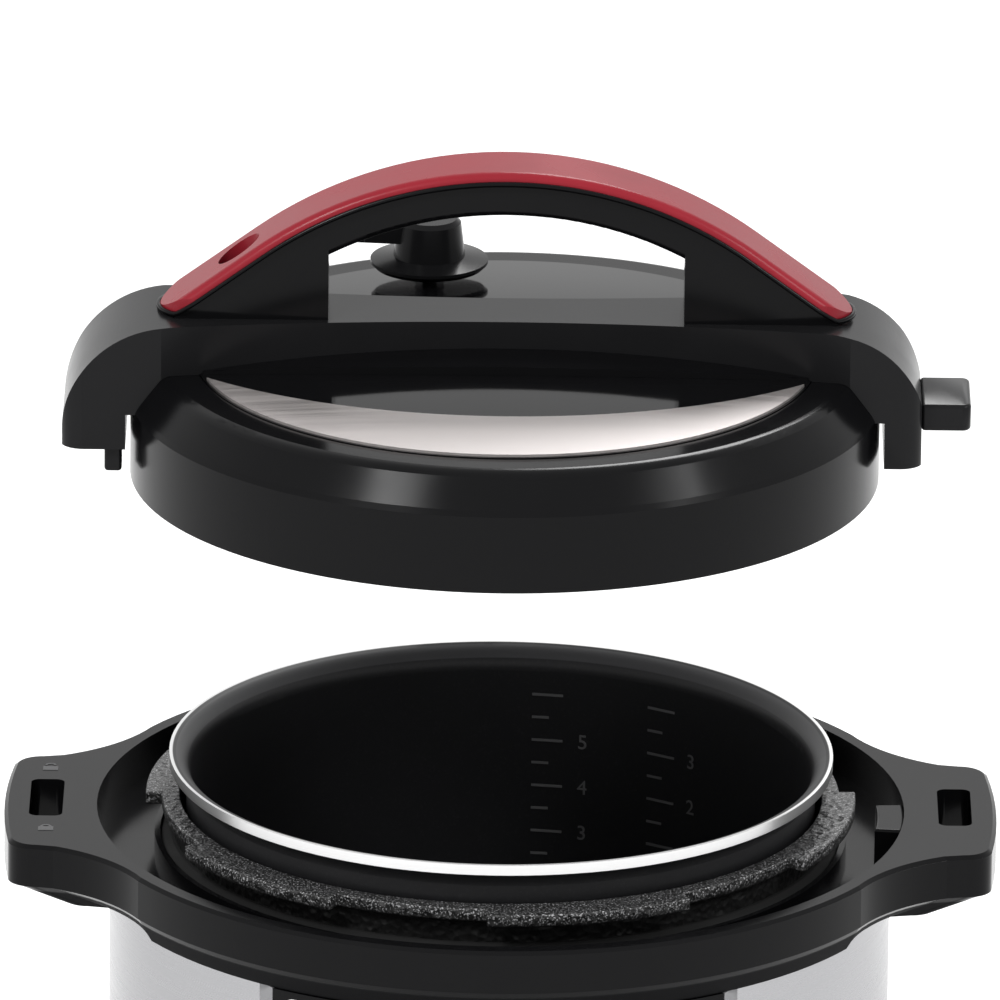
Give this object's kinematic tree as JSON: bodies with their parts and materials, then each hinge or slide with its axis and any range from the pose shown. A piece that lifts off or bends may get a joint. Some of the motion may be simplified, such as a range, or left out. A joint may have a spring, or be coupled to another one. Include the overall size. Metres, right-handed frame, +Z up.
{
  "type": "electric pressure cooker",
  "caption": "Electric pressure cooker: steel body, black collar with slotted handles, lift-out coated pot and a bayonet lid with an arched red-capped handle.",
  "frame": {"origin": "on the surface that the feet stand on, under the middle of the body", "axes": "+Z up, the control panel faces -Y, +X to the right of someone facing the panel"},
  "size_m": [0.344, 0.2918, 0.4595],
  "materials": {
    "gloss_black": "moulded gloss black plastic",
    "satin_black": "moulded satin black plastic",
    "red_cap": "gloss red plastic",
    "brushed_steel": "brushed stainless steel",
    "polished_steel": "polished steel",
    "hammered_black": "black hammered coating",
    "coated_pot": "dark coated inside with a bare machined rim",
    "cast_aluminium": "cast aluminium",
    "silicone": "translucent grey silicone",
    "rubber": "black rubber",
    "wool": "heat insulation felt",
    "grey_plastic": "grey painted plastic",
    "board": "circuit board",
    "dark_window": "dark display window",
    "key_plastic": "soft dark grey key",
    "clear_plastic": "clear plastic",
    "brass": "plated brass"
  },
  "bodies": {
    "cooker": {"base_tray": "satin_black", "rubber_feet": "rubber", "outer_shell": "brushed_steel", "top_collar": "gloss_black", "lid_guide_block": "gloss_black", "outer_pot": "hammered_black", "collar_seal": "rubber", "heat_insulation": "wool", "heating_plate": "cast_aluminium", "heating_element": "brushed_steel", "sensor_bracket": "brushed_steel", "sensor_spring": "polished_steel", "panel_face": "gloss_black", "display_window": "dark_window", "display_module": "satin_black", "key_membrane": "satin_black", "panel_housing": "satin_black", "panel_trim_left": "grey_plastic", "panel_trim_right": "grey_plastic", "control_board": "board", "power_board": "board", "power_components": "satin_black", "power_inlet": "satin_black", "inlet_blades": "brass", "cup_bracket": "satin_black"},
    "sensor": {"temperature_sensor": "cast_aluminium"},
    "cup": {"condensate_cup": "clear_plastic"},
    "pot": {"inner_pot": "coated_pot"},
    "seal": {"sealing_ring": "silicone"},
    "lid": {"lid_cover": "gloss_black", "lid_top_plate": "gloss_black", "inner_lid": "brushed_steel", "seal_rack": "brushed_steel", "crescent_trim": "polished_steel", "handle_base": "gloss_black", "handle_bridge": "satin_black", "handle_beam": "satin_black", "handle_cap": "red_cap", "lid_stand_tab": "satin_black", "lid_stub": "satin_black", "vent_pipe": "brushed_steel", "vent_shield": "brushed_steel"},
    "valve": {"steam_valve": "satin_black"},
    "float": {"float_pin": "brushed_steel", "float_seal": "silicone"},
    "key_1_cap": {"key_1": "key_plastic"},
    "key_2_cap": {"key_2": "key_plastic"},
    "key_3_cap": {"key_3": "key_plastic"},
    "key_4_cap": {"key_4": "key_plastic"},
    "key_5_cap": {"key_5": "key_plastic"},
    "key_6_cap": {"key_6": "key_plastic"},
    "key_7_cap": {"key_7": "key_plastic"},
    "key_8_cap": {"key_8": "key_plastic"},
    "key_9_cap": {"key_9": "key_plastic"},
    "key_10_cap": {"key_10": "key_plastic"}
  },
  "joints": [
    {"name": "pot_lift", "type": "slide", "parent": "cooker", "child": "pot", "axis": [0, 0, 1], "range_m": [0, 0.17]},
    {"name": "lid_lower", "type": "slide", "parent": "pot", "child": "seal", "axis": [0, 0, 1], "range_m": [-0.131, 0]},
    {"name": "lid_turn", "type": "hinge", "parent": "seal", "child": "lid", "pos_m": [0, 0, 0.348], "axis": [0, 0, 1], "range_deg": [-30, 0]},
    {"name": "steam_valve_turn", "type": "hinge", "parent": "lid", "child": "valve", "pos_m": [-0.027, 0.084, 0.4], "axis": [0, 0, 1], "range_deg": [0, 40]},
    {"name": "float_rise", "type": "slide", "parent": "lid", "child": "float", "axis": [0, 0, 1], "range_m": [0, 0.0055]},
    {"name": "sensor_press", "type": "slide", "parent": "cooker", "child": "sensor", "axis": [0, 0, 1], "range_m": [-0.002, 0], "stiffness_N_per_m": 900, "springref_m": 0.004, "deforming": ["sensor_spring"]},
    {"name": "cup_pull", "type": "slide", "parent": "cooker", "child": "cup", "axis": [0, 1, 0], "range_m": [0, 0.035]},
    {"name": "key_1_press", "type": "slide", "parent": "cooker", "child": "key_1_cap", "axis": [0.3746, 0.9272, 0], "range_m": [0, 0.0005], "stiffness_N_per_m": 900},
    {"name": "key_2_press", "type": "slide", "parent": "cooker", "child": "key_2_cap", "axis": [0.3746, 0.9272, 0], "range_m": [0, 0.0005], "stiffness_N_per_m": 900},
    {"name": "key_3_press", "type": "slide", "parent": "cooker", "child": "key_3_cap", "axis": [0.3746, 0.9272, 0], "range_m": [0, 0.0005], "stiffness_N_per_m": 900},
    {"name": "key_4_press", "type": "slide", "parent": "cooker", "child": "key_4_cap", "axis": [0.3746, 0.9272, 0], "range_m": [0, 0.0005], "stiffness_N_per_m": 900},
    {"name": "key_5_press", "type": "slide", "parent": "cooker", "child": "key_5_cap", "axis": [-0.3746, 0.9272, 0], "range_m": [0, 0.0005], "stiffness_N_per_m": 900},
    {"name": "key_6_press", "type": "slide", "parent": "cooker", "child": "key_6_cap", "axis": [-0.3746, 0.9272, 0], "range_m": [0, 0.0005], "stiffness_N_per_m": 900},
    {"name": "key_7_press", "type": "slide", "parent": "cooker", "child": "key_7_cap", "axis": [-0.3746, 0.9272, 0], "range_m": [0, 0.0005], "stiffness_N_per_m": 900},
    {"name": "key_8_press", "type": "slide", "parent": "cooker", "child": "key_8_cap", "axis": [-0.3746, 0.9272, 0], "range_m": [0, 0.0005], "stiffness_N_per_m": 900},
    {"name": "key_9_press", "type": "slide", "parent": "cooker", "child": "key_9_cap", "axis": [0.1495, 0.9888, 0], "range_m": [0, 0.0005], "stiffness_N_per_m": 900},
    {"name": "key_10_press", "type": "slide", "parent": "cooker", "child": "key_10_cap", "axis": [-0.1495, 0.9888, 0], "range_m": [0, 0.0005], "stiffness_N_per_m": 900}
  ]
}
